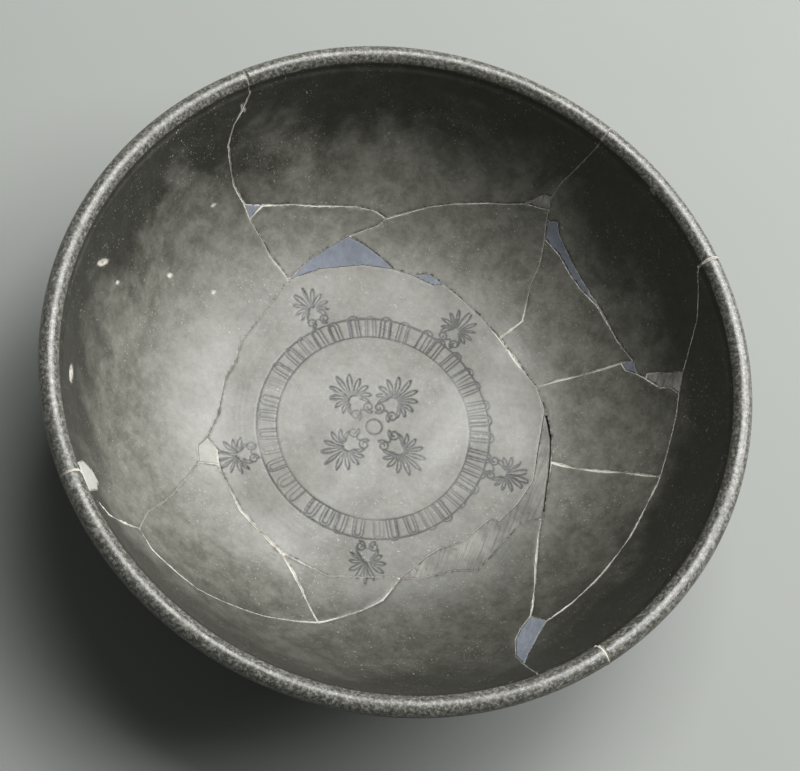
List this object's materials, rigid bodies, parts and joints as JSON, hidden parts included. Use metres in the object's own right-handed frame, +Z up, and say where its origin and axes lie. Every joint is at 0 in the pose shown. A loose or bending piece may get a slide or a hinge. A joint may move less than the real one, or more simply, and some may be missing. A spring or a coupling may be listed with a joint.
{
  "type": "glazed bowl",
  "caption": "Shallow wheel-thrown black-glazed bowl with a rounded lip and a ring foot, stamped palmettes on the floor, broken and mended from sherds with plaster fills.",
  "frame": {"origin": "middle of the foot ring's resting face, on the bowl's axis", "axes": "+Z up along the bowl's axis, +X to the right and +Y away from the picture's camera"},
  "size_m": [0.22, 0.22, 0.071],
  "materials": {
    "black_glaze": "worn semi-gloss black glaze",
    "grey_plaster": "smooth matt blue-grey tinted plaster",
    "pale_plaster": "rough matt pale plaster"
  },
  "bodies": {
    "root": {"rim_sherd_back": "black_glaze", "rim_sherd_back_right": "black_glaze", "rim_sherd_right": "black_glaze", "rim_sherd_front": "black_glaze", "rim_sherd_left": "black_glaze", "wall_sherd_back_left": "black_glaze", "wall_sherd_back": "black_glaze", "wall_sherd_right_back": "black_glaze", "wall_sherd_right": "black_glaze", "wall_sherd_right_front": "black_glaze", "wall_sherd_front_left": "black_glaze", "wall_sherd_front": "black_glaze", "floor_sherd": "black_glaze", "foot_ring": "black_glaze", "crescent_fill": "grey_plaster", "lens_fill": "grey_plaster", "wedge_fill": "grey_plaster", "right_patch_fill": "grey_plaster", "front_wedge_fill": "grey_plaster", "back_left_fill": "grey_plaster", "back_corner_fill": "pale_plaster", "right_corner_fill": "pale_plaster", "floor_band_fill": "pale_plaster", "left_patch_fill": "pale_plaster", "left_rim_fill": "pale_plaster"}
  },
  "joints": []
}
